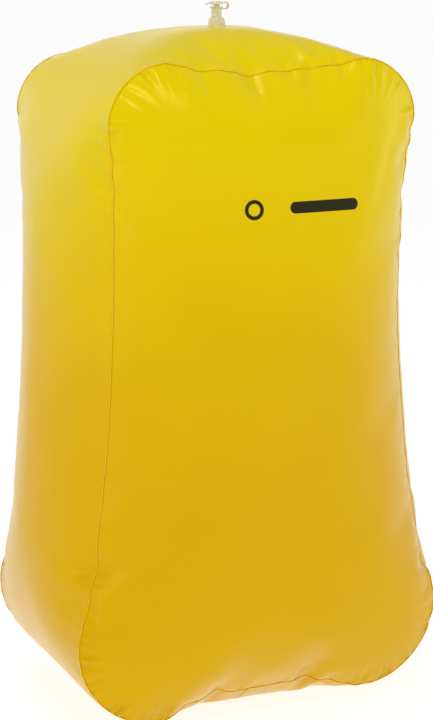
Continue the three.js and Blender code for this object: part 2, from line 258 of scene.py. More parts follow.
def flat_bag():
    """The bag before inflation: its points, the triangles of each film piece, and the seams."""
    flat, triangles, edge_points = flat_panel()
    count = len(flat)
    edge_count = len(edge_points)
    half_depth = band_width(flat[:, 1]) / 2
    front = np.stack([flat[:, 0], -half_depth, flat[:, 1]], 1)
    back = np.stack([flat[:, 0], half_depth, flat[:, 1]], 1)
    edge = flat[edge_points]
    mean_half = (BAND_TOP_WIDTH + BAND_BOTTOM_WIDTH) / 4
    from_weld = graded_steps(mean_half - OPEN_STEP / 3) / mean_half
    # Across the band, from -1 at the front weld to 1 at the back weld, without its two ends
    shares = np.concatenate([from_weld - 1, [0.0], (1 - from_weld)[::-1]])[1:-1]
    rows = [list(edge_points)]
    band_points = []
    for share in shares:
        start = 2 * count + len(band_points)
        rows.append(list(range(start, start + edge_count)))
        band_points += [(x, share * band_width(z) / 2, z) for x, z in edge]
    rows.append([p + count for p in edge_points])
    band = []
    for r, (near, far) in enumerate(zip(rows, rows[1:])):
        for i in range(edge_count):
            j = (i + 1) % edge_count
            if (i + r) % 2:
                band += [(near[i], far[i], far[j]), (near[i], far[j], near[j])]
            else:
                band += [(near[i], far[i], near[j]), (near[j], far[i], far[j])]
    points = np.vstack([front, back, np.array(band_points)])
    pieces = {
        "front": [tuple(t) for t in triangles],
        "back": [tuple(p + count for p in reversed(t)) for t in triangles],
        "band": band,
    }
    seams = {"front": rows[0], "back": rows[-1]}
    return points, pieces, seams


def new_object(name, points, faces):
    mesh = bpy.data.meshes.new(name)
    mesh.from_pydata([tuple(map(float, p)) for p in points], [], faces)
    mesh.update()
    obj = bpy.data.objects.new(name, mesh)
    scene.collection.objects.link(obj)
    return obj


def closed_rows(rows, corners):
    """Quads between neighbouring rows of points; each row closes on itself."""
    faces = []
    for here, there in zip(rows, rows[1:]):
        for k in range(corners):
            n = (k + 1) % corners
            faces.append((here + k, here + n, there + n, there + k))
    return faces


def shade_smooth(obj):
    obj.data.polygons.foreach_set("use_smooth", [True] * len(obj.data.polygons))


def facing_out(obj):
    work = bmesh.new()
    work.from_mesh(obj.data)
    bmesh.ops.recalc_face_normals(work, faces=work.faces)
    work.to_mesh(obj.data)
    work.free()


def mesh_points(mesh):
    points = np.zeros(len(mesh.vertices) * 3)
    mesh.vertices.foreach_get("co", points)
    return points.reshape(-1, 3)


def inflate(points, faces):
    """Blows the welded bag up and returns where its points end."""
    noise = np.random.default_rng(3).normal(0, CUT_NOISE, points.shape)
    bag = new_object("inflating_bag", points + noise, faces)
    facing_out(bag)
    modifier = bag.modifiers.new("air", "CLOTH")
    cloth = modifier.settings
    cloth.quality = SOLVER_STEPS
    cloth.mass = POINT_MASS
    cloth.tension_stiffness = FILM_STIFFNESS
    cloth.compression_stiffness = FILM_STIFFNESS
    cloth.shear_stiffness = FILM_STIFFNESS / 2
    cloth.bending_stiffness = FILM_BENDING
    cloth.tension_damping = FILM_DAMPING
    cloth.compression_damping = FILM_DAMPING
    cloth.shear_damping = FILM_DAMPING
    cloth.bending_damping = BENDING_DAMPING
    cloth.use_pressure = True
    cloth.uniform_pressure_force = AIR_PRESSURE
    cloth.effector_weights.gravity = 0
    modifier.collision_settings.use_collision = False
    modifier.point_cache.frame_end = INFLATION_FRAMES
    for number in range(1, INFLATION_FRAMES + 1):
        scene.frame_set(number)
    evaluated = bag.evaluated_get(bpy.context.evaluated_depsgraph_get())
    shape = mesh_points(evaluated.data)
    mesh = bag.data
    bpy.data.objects.remove(bag)
    bpy.data.meshes.remove(mesh)
    scene.frame_set(1)
    return shape


def smooth_step(t):
    """0 below 0, 1 above 1, and a smooth rise between them."""
    t = np.clip(t, 0, 1)
    return t * t * (3 - 2 * t)


def band_depth(flat):
    """How far into the gusset band flat-cut points lie; 0 on a panel."""
    return np.maximum(band_width(flat[:, 2]) / 2 - np.abs(flat[:, 1]), 0)


def distance_from_weld(flat, seam):
    """How far flat-cut points lie from the nearest weld, on a panel or on the band."""
    edge = flat[seam][:, [0, 2]]
    across = np.array([np.linalg.norm(edge - (x, z), axis=1).min() for x, z in flat[:, [0, 2]]])
    return across + band_depth(flat)


def calm(shape, faces, flat, seams):
    """Evens out the simulation's finest ripples away from the welds, without shrinking the bag."""
    triangles = np.array(faces)
    pairs = np.vstack([triangles[:, [0, 1]], triangles[:, [1, 2]], triangles[:, [2, 0]]])
    pairs = np.unique(np.sort(pairs, axis=1), axis=0)
    neighbours = np.bincount(pairs.ravel(), minlength=len(shape))[:, None]
    from_weld = distance_from_weld(flat, seams["front"])
    share = smooth_step((from_weld - CALM_START) / CALM_RAMP)[:, None]
    for strength in CALM_PAIR * CALM_ROUNDS:
        total = np.zeros_like(shape)
        np.add.at(total, pairs[:, 0], shape[pairs[:, 1]])
        np.add.at(total, pairs[:, 1], shape[pairs[:, 0]])
        shape = shape + strength * share * (total / neighbours - shape)
    for seam in seams.values():
        line = shape[seam]
        for strength in SEAM_CALM_PAIR * SEAM_CALM_ROUNDS:
            line = line + strength * ((np.roll(line, 1, 0) + np.roll(line, -1, 0)) / 2 - line)
        shape[seam] = line
    return shape


def settle(shape):
    """Stands the bag on the floor, flattens it where it rests, and fits it under the valve."""
    centre = (shape.max(0) + shape.min(0)) / 2
    shape = shape - np.array([centre[0], centre[1], shape[:, 2].min() + FLOOR_FLATTENING])
    shape[:, 2] = (shape[:, 2] + np.hypot(shape[:, 2], FLOOR_SOFTNESS)) / 2
    shape[:, 2] -= shape[:, 2].min()
    inside_margin = LAP_STRIP_WIDTH / 2 + LAP_STRIP_MARGIN - np.abs(shape[:, 0])
    over_strip = smooth_step(inside_margin / LAP_STRIP_RAMP)
    underneath = shape[:, 2] < UNDERSIDE_HEIGHT
    shape[:, 2] += np.where(underneath, LAP_STRIP_RAISE * over_strip, 0)
    radius = np.hypot(shape[:, 0] - valve_x, shape[:, 1])
    under_valve = (radius < VALVE_SEAT_RADIUS) & (shape[:, 2] > film_top / 2)
    shape *= film_top / shape[under_valve, 2].mean()
    past_seat = (radius - VALVE_SEAT_RADIUS) / (VALVE_SEAT_BLEND - VALVE_SEAT_RADIUS)
    seat = 1 - smooth_step(past_seat)
    on_top = shape[:, 2] > film_top / 2
    shape[:, 2] += np.where(on_top, seat * (film_top - shape[:, 2]), 0)
    return shape


# ---------------------------------------------------------------- puckers at the welds

def uneven(count, waves, seed):
    """Smooth random values round a closed line, mostly between -1 and 1."""
    random = np.random.default_rng(seed)
    place = np.linspace(0, 2 * np.pi, count, endpoint=False)
    total = sum(
        random.uniform(0.5, 1) * np.sin(k * place + random.uniform(0, 2 * np.pi))
        for k in waves
    )
    return total / math.sqrt(len(waves) / 2)


def corner_share(edge, step):
    """1 on the panel's rounded corners, 0 on its long lines, with a short ramp between them."""
    heading = np.unwrap(np.arctan2(*(np.roll(edge, -1, 0) - edge).T[::-1]))
    turning = np.abs(np.gradient(heading)) / step.mean()       # radians a metre
    samples = 13
    window = np.ones(samples) / samples
    turning = np.convolve(np.pad(turning, samples // 2, "wrap"), window, "valid")
    straight, round_enough = 2, 8
    return np.clip((turning - straight) / (round_enough - straight), 0, 1)


def pucker_line():
    """Height, phase and reach of the small puckers, all along the panel's edge."""
    edge = panel_edge()
    count = len(edge)
    step = np.linalg.norm(np.roll(edge, -1, 0) - edge, axis=1)
    z = edge[:, 1]
    corner = corner_share(edge, step)
    top = (1 - corner) * (z > PANEL_HEIGHT - 0.002)
    bottom = (1 - corner) * (z < UNDERSIDE_HEIGHT)
    side = (1 - corner) * (1 - top) * (1 - bottom)

    def along_stretches(values):
        return sum(value * share for value, share in zip(values, (corner, top, bottom, side)))

    under_top = np.maximum(PANEL_HEIGHT - PANEL_TOP_RADIUS - z, 0)
    over_bottom = np.maximum(z - PANEL_BOTTOM_RADIUS, 0)
    near_corner = np.maximum(
        np.exp(-under_top / PUCKER_FADE_FROM_TOP), np.exp(-over_bottom / PUCKER_FADE_FROM_BOTTOM))
    height = along_stretches((*PUCKER_HEIGHTS[:3], PUCKER_HEIGHTS[3] * near_corner))
    height *= 1 + HEIGHT_UNEVENNESS * uneven(count, range(9, 60, 5), 11)
    spacing = along_stretches(PUCKER_SPACINGS)
    rate = 1 + SPACING_UNEVENNESS * uneven(count, range(7, 90, 6), 5)
    phase = np.cumsum(2 * np.pi * step / spacing * rate)
    phase *= 2 * np.pi * round(phase[-1] / (2 * np.pi)) / phase[-1]     # a whole number of puckers
    return edge, height, phase, along_stretches(PUCKER_REACHES)


def pucker(mesh, share):
    """Raises the small puckers that run from a weld into the film, too fine for the simulation."""
    edge, height, phase, reach = pucker_line()
    tree = kdtree.KDTree(len(edge))
    for k, (x, z) in enumerate(edge):
        tree.insert((x, 0, z), k)
    tree.balance()
    count = len(mesh.vertices)
    cut = np.zeros(count * 3)
    mesh.attributes["flat_cut"].data.foreach_get("vector", cut)
    cut = cut.reshape(-1, 3)
    found = [tree.find((x, 0, z))[1:] for x, _, z in cut]
    nearest = np.array([index for index, _ in found])
    from_weld = np.array([distance for _, distance in found]) + band_depth(cut)
    away = from_weld / reach[nearest]
    drift = DRIFT_UNEVENNESS * uneven(len(edge), range(5, 40, 4), 23)
    half_phase = phase[nearest] / 2 + drift[nearest] * away
    wave = 1 - 2 * np.sqrt(np.cos(half_phase) ** 2 + RIDGE_SOFTNESS)
    rise = share * height[nearest] * away * np.exp(1 - away) * wave    # none on the weld itself
    normals = np.zeros(count * 3)
    mesh.vertices.foreach_get("normal", normals)
    points = mesh_points(mesh) + normals.reshape(-1, 3) * rise[:, None]
    mesh.vertices.foreach_set("co", points.ravel())
    mesh.update()


# ---------------------------------------------------------------- film pieces

def apply_modifiers(obj):
    """Makes the object's modified shape its own."""
    evaluated = obj.evaluated_get(bpy.context.evaluated_depsgraph_get())
    mesh = bpy.data.meshes.new_from_object(evaluated)
    obj.modifiers.clear()
    old = obj.data
    obj.data = mesh
    mesh.name = obj.name
    bpy.data.meshes.remove(old)


def film_piece(name, shape, flat, triangles):
    """One cut of film, taken out of the inflated bag; it keeps its flat-cut coordinates."""
    used = sorted({p for t in triangles for p in t})
    place = {old: new for new, old in enumerate(used)}
    obj = new_object(name, shape[used], [tuple(place[p] for p in t) for t in triangles])
    cut = obj.data.attributes.new("flat_cut", "FLOAT_VECTOR", "POINT")
    cut.data.foreach_set("vector", flat[used].astype(np.float32).ravel())
    return obj


def lap_strip(shape, flat, band):
    """The strip welded across the joint of the gusset band, on its outer face under the bag."""
    half = LAP_STRIP_WIDTH / 2 + WELD_STEP / 4
    chosen = [
        t for t in band
        if all(abs(flat[p][0]) < half and flat[p][2] < UNDERSIDE_CUT_HEIGHT for p in t)
    ]
    obj = film_piece("lap_strip", shape, flat, chosen)
    facing_out(obj)
    return obj


def finish_film(obj):
    """Refines a piece of film, puckers it, opens it for the valve and gives it its thickness."""
    subdivision = obj.modifiers.new("smooth", "SUBSURF")
    subdivision.levels = 1
    apply_modifiers(obj)
    pucker(obj.data, 1 if obj.name in ("front_film", "back_film") else BAND_PUCKER_SHARE)
    if obj.name == "gusset_film":
        cut_valve_hole(obj)
    thickness = obj.modifiers.new("film", "SOLIDIFY")
    thickness.thickness = FILM
    thickness.offset = 1 if obj.name == "lap_strip" else -1       # the strip lies outside
    apply_modifiers(obj)
    shade_smooth(obj)


def loop_of(edges):
    """The corners of a closed loop of edges, in order."""
    edge = edges[0]
    loop = [edge.verts[0]]
    while True:
        corner = edge.other_vert(loop[-1])
        if corner is loop[0]:
            return loop
        loop.append(corner)
        edge = next(e for e in corner.link_edges if e in edges and e is not edge)


def cut_valve_hole(obj):
    """Opens the film under the valve, with a round edge joined to the mesh round it."""
    work = bmesh.new()
    work.from_mesh(obj.data)
    axis = Vector((valve_x, 0))
    opened = 0.9 * VALVE_SEAT_RADIUS
    outer = 0.75 * VALVE_SEAT_RADIUS
    corners = 64

    def on_seat(vertex, radius):
        return vertex.co.z > film_top / 2 and (vertex.co.xy - axis).length < radius

    inner = [f for f in work.faces if any(on_seat(v, opened) for v in f.verts)]
    bmesh.ops.delete(work, geom=inner, context="FACES")
    rim = loop_of([
        e for e in work.edges
        if e.is_boundary and on_seat(e.verts[0], 2 * VALVE_SEAT_RADIUS)
    ])
    angles = [2 * math.pi * k / corners for k in range(corners)]
    rings = [
        [work.verts.new((valve_x + r * math.cos(a), r * math.sin(a), film_top)) for a in angles]
        for r in (VALVE_HOLE_RADIUS, VALVE_HOLE_RADIUS + 0.001, outer)
    ]
    faces = []
    for inside_ring, outside_ring in zip(rings, rings[1:]):
        for k in range(corners):
            n = (k + 1) % corners
            faces.append((inside_ring[k], outside_ring[k], outside_ring[n], inside_ring[n]))
    between = rim + rings[-1]
    start = len(rim)
    ring_edges = [(start + k, start + (k + 1) % corners) for k in range(corners)]
    _, _, triangles, sources, _, _ = geometry.delaunay_2d_cdt(
        [v.co.xy for v in between], ring_edges, [list(range(start))],
        INSIDE_LOOP, MERGE_DISTANCE)
    for triangle in triangles:
        chosen = [between[sources[i][0]] for i in triangle]
        centre = sum((v.co.xy for v in chosen), Vector((0, 0))) / 3
        if (centre - axis).length > outer * 0.998:        # leaves out those inside the ring
            faces.append(chosen)
    for corners_of_face in faces:
        face = work.faces.new(corners_of_face)
        face.normal_update()
        if face.normal.z < 0:
            face.normal_flip()
    work.to_mesh(obj.data)
    work.free()


def closed_sweep(name, path, sides, ups, section):
    """A ring of the given section round a closed path; section is a list of (side, up) offsets."""
    corners = len(section)
    points = [
        path[i] + sides[i] * s + ups[i] * u
        for i in range(len(path)) for s, u in section
    ]
    rows = [i * corners for i in range(len(path))]
    obj = new_object(name, points, closed_rows(rows + rows[:1], corners))
    facing_out(obj)
    shade_smooth(obj)
    return obj


def weld_edge(name, shape, faces, seam):
    """The raised edge that the weld leaves outside the bag, all along one seam."""
    whole = bpy.data.meshes.new("normals")
    whole.from_pydata([tuple(map(float, p)) for p in shape], [], faces)
    work = bmesh.new()
    work.from_mesh(whole)
    bmesh.ops.recalc_face_normals(work, faces=work.faces)
    work.verts.ensure_lookup_table()
    work.normal_update()
    ups = np.array([tuple(work.verts[p].normal) for p in seam])
    work.free()
    bpy.data.meshes.remove(whole)
    path = shape[seam]
    tangents = np.roll(path, -1, 0) - np.roll(path, 1, 0)
    tangents /= np.linalg.norm(tangents, axis=1)[:, None]
    ups -= tangents * (ups * tangents).sum(1)[:, None]
    ups /= np.linalg.norm(ups, axis=1)[:, None]
    sides = np.cross(tangents, ups)
    angles = np.linspace(0, 2 * math.pi, WELD_CORNERS, endpoint=False)
    section = [
        (WELD_HALF_WIDTH * math.cos(a),
         WELD_HEIGHT * (WELD_CENTRE + (1 - WELD_CENTRE) * math.sin(a)))
        for a in angles
    ]
    return closed_sweep(name, path, sides, ups, section)


# ---------------------------------------------------------------- valve

# Heights above the film and radii, in millimetres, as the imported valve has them
COLLAR_BASE, COLLAR_TOP, COLLAR_HEIGHT = 8.85, 7.4, 7.5
COLLAR_WALL, COLLAR_SUNK = 1.1, 1.2
STEM, BORE, LIP = 4.925, 3.3, 6.05
STEM_BOTTOM, LIP_BOTTOM, LIP_TOP = -3.0, 16.9, 18.0
PLUG_BOTTOM, PLUG_TIP, PLUG = 15.4, 1.8, 3.0
CAP_BOTTOM, CAP_TOP, CAP = 20.2, 23.4, 6.2
STRAP_LOW, STRAP_HIGH, STRAP_BEND = 16.0, 21.8, 9.2
STRAP_THICKNESS, STRAP_WIDTH = 1.2, 4.0
TAB_TIP, TAB_HALF_WIDTH, TAB_HALF_THICKNESS = 12.0, 2.5, 0.6

ROUNDING_STEPS = 4
TURNED_SEGMENTS = 72
SECTION_CORNERS = 20


def rounded(profile, radius):
    """A (radius, height) profile, its inner corners rounded as far as its lines are long enough."""
    result = [profile[0]]
    for before, corner, after in zip(profile, profile[1:], profile[2:]):
        b, c, a = Vector(before), Vector(corner), Vector(after)
        reach = min(radius, (b - c).length * 0.45, (a - c).length * 0.45)
        start = c + (b - c).normalized() * reach
        end = c + (a - c).normalized() * reach
        for k in range(ROUNDING_STEPS + 1):
            t = k / ROUNDING_STEPS
            result.append(tuple(start * (1 - t) ** 2 + c * 2 * t * (1 - t) + end * t ** 2))
    return result + [profile[-1]]


def turned(name, profile, is_ring):
    """Turns a millimetre profile about the valve's axis; a ring's profile closes on itself."""
    points, faces, rows = [], [], []
    for radius, height in profile:
        z = film_top + height / 1000
        if radius < 1e-6:
            rows.append([len(points)] * TURNED_SEGMENTS)
            points.append((valve_x, 0, z))
            continue
        rows.append(list(range(len(points), len(points) + TURNED_SEGMENTS)))
        for k in range(TURNED_SEGMENTS):
            angle = 2 * math.pi * k / TURNED_SEGMENTS
            x = valve_x + radius / 1000 * math.cos(angle)
            points.append((x, radius / 1000 * math.sin(angle), z))
    if is_ring:
        rows.append(rows[0])
    for low, high in zip(rows, rows[1:]):
        for k in range(TURNED_SEGMENTS):
            n = (k + 1) % TURNED_SEGMENTS
            corners = tuple(dict.fromkeys((low[k], low[n], high[n], high[k])))
            if len(corners) > 2:
                faces.append(corners)
    obj = new_object(name, points, faces)
    facing_out(obj)
    shade_smooth(obj)
    return obj


def valve_collar():
    return turned("valve_collar_skin", rounded([
        (COLLAR_BASE - COLLAR_WALL, -COLLAR_SUNK), (COLLAR_BASE, -COLLAR_SUNK),
        (COLLAR_BASE, 0.2), (COLLAR_BASE - 0.55, 1.2),
        (COLLAR_TOP, COLLAR_HEIGHT), (STEM + 0.7, COLLAR_HEIGHT),
        (STEM + 0.05, COLLAR_HEIGHT + 0.9), (STEM + 0.05, COLLAR_HEIGHT - 1.2),
        (COLLAR_TOP - COLLAR_WALL, COLLAR_HEIGHT - 1.2), (COLLAR_BASE - 1.9, 0.8),
        (COLLAR_BASE - COLLAR_WALL, -1.0),
    ], 0.5)[:-1], is_ring=True)


def valve_stem():
    return turned("valve_stem_tube", rounded([
        (BORE, 4.0), (BORE, STEM_BOTTOM), (STEM, STEM_BOTTOM),
        (STEM, LIP_BOTTOM - 1.2), (STEM + 0.25, LIP_BOTTOM - 0.3),
        (LIP, LIP_BOTTOM), (LIP, LIP_TOP), (BORE + 0.3, LIP_TOP),
        (BORE, LIP_TOP - 0.5), (BORE, 6.0),
    ], 0.35), is_ring=True)


def plug_cap():
    return turned("plug_cap_moulding", rounded([
        (0, PLUG_BOTTOM), (PLUG_TIP, PLUG_BOTTOM), (PLUG, LIP_TOP), (PLUG, CAP_BOTTOM - 0.4),
        (PLUG + 0.4, CAP_BOTTOM), (CAP, CAP_BOTTOM), (CAP, CAP_BOTTOM + 1.6),
        (CAP - 0.9, CAP_TOP - 0.7), (CAP - 2.6, CAP_TOP - 0.15), (0, CAP_TOP),
    ], 0.5), is_ring=False)


def superellipse(half_width, half_height, power):
    """A rounded-rectangle section."""
    points = []
    for k in range(SECTION_CORNERS):
        a = 2 * math.pi * k / SECTION_CORNERS
        c, s = math.cos(a), math.sin(a)
        points.append((
            half_width * math.copysign(abs(c) ** (2 / power), c),
            half_height * math.copysign(abs(s) ** (2 / power), s),
        ))
    return points


def capped_bar(name, points):
    """A closed solid from the points of its sections, SECTION_CORNERS to each."""
    rows = list(range(0, len(points), SECTION_CORNERS))
    faces = closed_rows(rows, SECTION_CORNERS)
    faces.append(tuple(reversed(range(rows[0], rows[0] + SECTION_CORNERS))))
    faces.append(tuple(range(rows[-1], rows[-1] + SECTION_CORNERS)))
    obj = new_object(name, points, faces)
    facing_out(obj)
    shade_smooth(obj)
    return obj


STRAP_OUT_POINTS = 8
STRAP_BEND_POINTS = 20
STRAP_BACK_POINTS = 12
STRAP_FOLD_START = STRAP_OUT_POINTS + STRAP_BEND_POINTS - 1     # on the way back to the cap
STRAP_FOLD_WIDTH = 0.7
STRAP_FOLD_DEPTH = 0.5             # share of the strap's thickness lost at the fold
STRAP_FLARE = 0.35                 # how much wider the strap is where it leaves the stem
STRAP_FLARE_POINTS = 1.5


def strap_path():
    """Side view of the strap, in millimetres: off the stem, round the bend and to the cap."""
    centre_z = (STRAP_HIGH + STRAP_LOW) / 2
    radius = (STRAP_HIGH - STRAP_LOW) / 2
    out = [
        (x, STRAP_LOW)
        for x in np.linspace(STEM - 0.3, STRAP_BEND, STRAP_OUT_POINTS, endpoint=False)
    ]
    bend = [
        (STRAP_BEND + radius * math.cos(a), centre_z + radius * math.sin(a))
        for a in np.linspace(-math.pi / 2, math.pi / 2, STRAP_BEND_POINTS)
    ]
    back = [
        (x, STRAP_HIGH)
        for x in np.linspace(STRAP_BEND, CAP - 0.4, STRAP_BACK_POINTS)[1:]
    ]
    return np.array(out + bend + back)


def tether_strap():
    """The strap from stem to cap, thinned on its outside at the fold where the cap swings."""
    side_view = strap_path()
    tangents = np.gradient(side_view, axis=0)
    tangents /= np.linalg.norm(tangents, axis=1)[:, None]
    section = superellipse(STRAP_WIDTH / 2, STRAP_THICKNESS / 2, 4)
    points = []
    for k, ((x, z), (tx, tz)) in enumerate(zip(side_view, tangents)):
        on_way_back = k >= STRAP_FOLD_START
        folded = math.exp(-((x - STRAP_BEND) / STRAP_FOLD_WIDTH) ** 2) if on_way_back else 0
        flare = 1 + STRAP_FLARE * math.exp(-k / STRAP_FLARE_POINTS)
        shift = STRAP_FOLD_DEPTH / 2 * STRAP_THICKNESS * folded
        for wide, thick in section:
            depth = thick * (1 - STRAP_FOLD_DEPTH * folded) - shift
            points.append((
                valve_x + (x + tz * depth) / 1000,
                wide * flare / 1000,
                film_top + (z - tx * depth) / 1000,
            ))
    return capped_bar("tether_strap", points)


def pull_tab():
    """A thin tongue off the cap's edge that slopes down and swells near its tip."""
    slope = math.radians(14)
    start = -(CAP - 0.5)
    length = (TAB_TIP - (CAP - 0.5)) / math.cos(slope)
    z_start = (CAP_BOTTOM + CAP_TOP) / 2
    stations = 26
    round_from, swell_at, swell_width, swell = 0.62, 0.82, 0.09, 0.25
    points = []
    for k in range(stations):
        t = k / (stations - 1)
        reach = t * length
        past = max(0.0, (t - round_from) / (1 - round_from))
        round_end = math.sqrt(max(0.0, 1 - past ** 2))
        half_width = max(TAB_HALF_WIDTH * round_end, 0.05)
        half_thick = TAB_HALF_THICKNESS + swell * math.exp(-((t - swell_at) / swell_width) ** 2)
        half_thick *= max(round_end, 0.15) ** 0.5
        for wide, thick in superellipse(half_width, half_thick, 3.2):
            x = start - reach * math.cos(slope) - thick * math.sin(slope)
            z = z_start - reach * math.sin(slope) + thick * math.cos(slope)
            points.append((valve_x + x / 1000, wide / 1000, film_top + z / 1000))
    return capped_bar("pull_tab_tongue", points)


# ---------------------------------------------------------------- materials

class Nodes:
    """Short ways to add and join a material's shader nodes."""

    def __init__(self, name):
        self.material = bpy.data.materials.new(name)
        self.material.use_nodes = True
        self.tree = self.material.node_tree
        self.shader = self.tree.nodes["Principled BSDF"]

    def place(self):
        return self.add("ShaderNodeTexCoord").outputs["Object"]

    def set(self, **values):
        """Sets the shader's own sockets; an underscore stands for a space in a name."""
        for name, value in values.items():
            self.shader.inputs[name.replace("_", " ")].default_value = value

    def add(self, kind, **settings):
        node = self.tree.nodes.new(kind)
        for key, value in settings.items():
            setattr(node, key, value)
        return node

    def join(self, source, target):
        self.tree.links.new(source, target)

    def math(self, operation, *values):
        node = self.add("ShaderNodeMath", operation=operation)
        for socket, value in zip(node.inputs, values):
            if isinstance(value, (int, float)):
                socket.default_value = value
            else:
                self.join(value, socket)
        return node.outputs[0]

    def noise(self, coordinates, scale, detail=3.0):
        node = self.add("ShaderNodeTexNoise")
        node.inputs["Scale"].default_value = scale
        node.inputs["Detail"].default_value = detail
        self.join(coordinates, node.inputs["Vector"])
        return node.outputs["Fac"]

    def spread(self, value, low, high, from_low=0.0, from_high=1.0):
        """Maps a value from one range to another, with a smooth start and end."""
        node = self.add("ShaderNodeMapRange", interpolation_type="SMOOTHSTEP")
        node.inputs["From Min"].default_value = from_low
        node.inputs["From Max"].default_value = from_high
        node.inputs["To Min"].default_value = low
        node.inputs["To Max"].default_value = high
        self.join(value, node.inputs["Value"])
        return node.outputs["Result"]

    def mix(self, share, first, second):
        node = self.add("ShaderNodeMix", data_type="RGBA")
        self.join(share, node.inputs["Factor"])
        for socket, colour in ((node.inputs["A"], first), (node.inputs["B"], second)):
            if isinstance(colour, tuple):
                socket.default_value = (*colour, 1)
            else:
                self.join(colour, socket)
        return node.outputs["Result"]

    def bump(self, height, distance, strength):
        node = self.add("ShaderNodeBump")
        node.inputs["Distance"].default_value = distance
        node.inputs["Strength"].default_value = strength
        self.join(height, node.inputs["Height"])
        self.join(node.outputs["Normal"], self.shader.inputs["Normal"])


LIT_LEMON = (0.74, 0.57, 0.0)            # painted light: the lit yellow high on the bag
SHADED_GOLDEN = (0.68, 0.39, 0.0)           # painted shade: the darker yellow low on the bag, where less light falls
# heights where the painted shade gives way to the painted light
SHADED_BELOW, LIT_ABOVE = 0.30, 0.72
FILM_GLOSS_TINT = (1.0, 0.85, 0.2, 1)
WELD_COLOURS = (0.80, 0.44, 0.0), (0.88, 0.58, 0.0)
VINYL_COLOURS = (0.84, 0.75, 0.49), (0.89, 0.81, 0.55)
INK = (0.010, 0.010, 0.009)
PRINT_BLUR = 0.00015


def print_mask(nodes):
    """1 where the front panel is printed: a ring and a rounded bar, in flat-cut coordinates."""
    cut = nodes.add("ShaderNodeAttribute", attribute_name="flat_cut")
    split = nodes.add("ShaderNodeSeparateXYZ")
    nodes.join(cut.outputs["Vector"], split.inputs[0])
    x, z = split.outputs["X"], split.outputs["Z"]
    up = nodes.math("SUBTRACT", z, PRINT_HEIGHT)

    def distance(across):
        across_squared = nodes.math("MULTIPLY", across, across)
        up_squared = nodes.math("MULTIPLY", up, up)
        return nodes.math("SQRT", nodes.math("ADD", across_squared, up_squared))

    from_ring = distance(nodes.math("SUBTRACT", x, RING_X))
    off_ring = nodes.math("SUBTRACT", from_ring, RING_RADIUS - RING_WIDTH / 2)
    ring = nodes.math("SUBTRACT", nodes.math("ABSOLUTE", off_ring), RING_WIDTH / 2)
    along = nodes.math("ABSOLUTE", nodes.math("SUBTRACT", x, BAR_X))
    past_end = nodes.math("SUBTRACT", along, BAR_HALF_LENGTH - BAR_HALF_HEIGHT)
    from_bar = distance(nodes.math("MAXIMUM", past_end, 0.0))
    bar = nodes.math("SUBTRACT", from_bar, BAR_HALF_HEIGHT)
    nearest = nodes.math("MINIMUM", ring, bar)
    return nodes.spread(nearest, 1.0, 0.0, -PRINT_BLUR, PRINT_BLUR)


def film_material(name, printed=False):
    """Yellow film, painted lit lemon above and shaded golden below, printed if asked for."""
    nodes = Nodes(name)
    place = nodes.place()
    height = nodes.add("ShaderNodeSeparateXYZ")
    nodes.join(place, height.inputs[0])
    # painted light and shade by height in the bag, with a noisy edge between them
    cloudy = nodes.noise(place, 7.0, 2.0)
    level = nodes.math("ADD", height.outputs["Z"], nodes.math("MULTIPLY", cloudy, 0.12))
    rise = nodes.spread(level, 0.0, 1.0, SHADED_BELOW, LIT_ABOVE)
    colour = nodes.mix(rise, SHADED_GOLDEN, LIT_LEMON)
    roughness = nodes.spread(nodes.noise(place, 60.0), 0.22, 0.28)
    if printed:
        colour = nodes.mix(print_mask(nodes), colour, INK)
    nodes.join(colour, nodes.shader.inputs["Base Color"])
    nodes.join(roughness, nodes.shader.inputs["Roughness"])
    nodes.set(Specular_IOR_Level=0.25, Specular_Tint=FILM_GLOSS_TINT)
    nodes.bump(nodes.noise(place, 1400.0, 2.0), 0.00002, 0.35)
    return nodes.material


def weld_material():
    nodes = Nodes("welded_edge")
    place = nodes.place()
    pressed = nodes.noise(place, 220.0, 2.0)
    nodes.join(nodes.mix(pressed, *WELD_COLOURS), nodes.shader.inputs["Base Color"])
    nodes.join(nodes.spread(pressed, 0.30, 0.45), nodes.shader.inputs["Roughness"])
    nodes.set(Specular_IOR_Level=0.3)
    nodes.bump(nodes.noise(place, 600.0), 0.0001, 0.2)
    return nodes.material


def vinyl_material():
    nodes = Nodes("milky_vinyl")
    place = nodes.place()
    cloudy = nodes.noise(place, 260.0, 2.0)
    roughness = nodes.spread(nodes.noise(place, 500.0), 0.20, 0.32)
    nodes.join(nodes.mix(cloudy, *VINYL_COLOURS), nodes.shader.inputs["Base Color"])
    nodes.join(roughness, nodes.shader.inputs["Roughness"])
    nodes.set(IOR=1.52, Transmission_Weight=0.22, Subsurface_Weight=0.25, Subsurface_Scale=0.003)
    nodes.bump(nodes.noise(place, 900.0), 0.00003, 0.2)
    return nodes.material


def paint(obj, material):
    obj.data.materials.clear()
    obj.data.materials.append(material)


# ---------------------------------------------------------------- build the pieces

flat_points, film_faces, seams = flat_bag()
every_face = film_faces["front"] + film_faces["back"] + film_faces["band"]
inflated = inflate(flat_points, every_face)
bag_shape = settle(calm(inflated, every_face, flat_points, seams))

front_film = film_piece("front_film", bag_shape, flat_points, film_faces["front"])
back_film = film_piece("back_film", bag_shape, flat_points, film_faces["back"])
gusset_film = film_piece("gusset_film", bag_shape, flat_points, film_faces["band"])
strip = lap_strip(bag_shape, flat_points, film_faces["band"])
for film in (front_film, back_film, gusset_film, strip):
    facing_out(film)
    finish_film(film)
front_weld = weld_edge("front_weld", bag_shape, every_face, seams["front"])
back_weld = weld_edge("back_weld", bag_shape, every_face, seams["back"])

collar = valve_collar()
stem = valve_stem()
cap = plug_cap()
strap = tether_strap()
tab = pull_tab()

